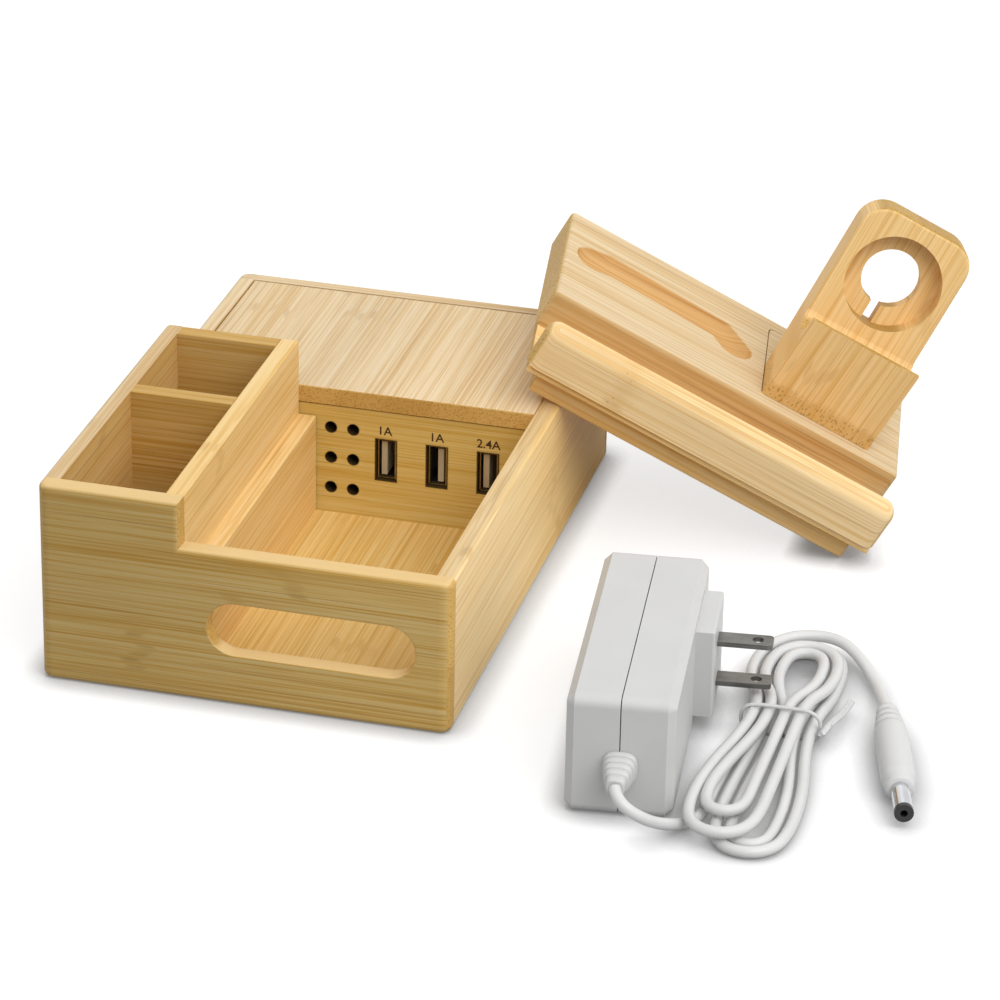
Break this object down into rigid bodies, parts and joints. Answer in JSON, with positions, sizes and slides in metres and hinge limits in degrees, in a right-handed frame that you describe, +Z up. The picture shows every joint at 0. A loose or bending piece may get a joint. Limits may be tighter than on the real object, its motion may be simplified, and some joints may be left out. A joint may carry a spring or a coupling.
{
  "type": "charging station organizer",
  "caption": "Bamboo desk tray with pen pockets and USB charging panel, a loose phone and watch dock leaning on it, and a power adapter with tied cord.",
  "frame": {"origin": "centre of the tray's flat underside", "axes": "+X along the tray from the finger-slot end to the electronics chamber, +Y from the low front wall to the pen pockets, +Z up"},
  "size_m": [0.2668, 0.2618, 0.1001],
  "materials": {
    "bamboo": "satin lacquered bamboo strips",
    "steel": "brushed",
    "chrome": "polished",
    "black_plastic": "matte",
    "board_green": "solder mask",
    "ferrite": "matte",
    "can_metal": "satin",
    "brass": "satin",
    "adapter_white": "semi-gloss",
    "cord_white": "soft sheen",
    "wire_black": "matte"
  },
  "bodies": {
    "tray": {"back_wall": "bamboo", "base_panel": "bamboo", "board_posts": "brass", "board_screws": "steel", "chamber_lid": "bamboo", "charge_controllers": "black_plastic", "circuit_board": "board_green", "dc_jack_body": "black_plastic", "dc_jack_nut": "steel", "dc_jack_pin": "brass", "filter_capacitors": "can_metal", "front_wall": "bamboo", "jack_wires": "wire_black", "ledge_board": "bamboo", "left_end_wall": "bamboo", "lid_rails": "bamboo", "pen_cross_divider": "bamboo", "pen_divider": "bamboo", "pen_end_wall": "bamboo", "power_inductors": "ferrite", "right_end_wall": "bamboo", "usb_panel": "bamboo", "usb_shell_1": "steel", "usb_shell_2": "steel", "usb_shell_3": "steel", "usb_tongue_1": "black_plastic", "usb_tongue_2": "black_plastic", "usb_tongue_3": "black_plastic"},
    "dock": {"dock_back_block": "bamboo", "dock_deck": "bamboo", "dock_front_bar": "bamboo", "dock_tongue": "bamboo"},
    "watch_stand": {"watch_stand_upright": "bamboo", "stand_foot_plate": "bamboo", "stand_screws": "steel"},
    "adapter": {"adapter_left_shell": "adapter_white", "adapter_right_shell": "adapter_white", "plug_block": "adapter_white", "plug_blades": "steel", "strain_relief": "cord_white", "adapter_board": "board_green", "transformer": "ferrite", "adapter_capacitors": "can_metal", "cord_lead": "cord_white", "cord_hank": "cord_white", "cord_tail": "cord_white", "plug_handle": "cord_white", "plug_sleeve": "chrome", "plug_tip": "black_plastic", "twist_tie": "cord_white"}
  },
  "joints": [
    {"name": "dock_lift", "type": "slide", "parent": "tray", "child": "dock", "axis": [0, 0, 1], "range_m": [0, 0.12]},
    {"name": "stand_lift", "type": "slide", "parent": "dock", "child": "watch_stand", "axis": [0, -0.4827, 0.8758], "range_m": [0, 0.04]},
    {"name": "adapter_lift", "type": "slide", "parent": "tray", "child": "adapter", "axis": [0, 0, 1], "range_m": [0, 0.1]}
  ]
}
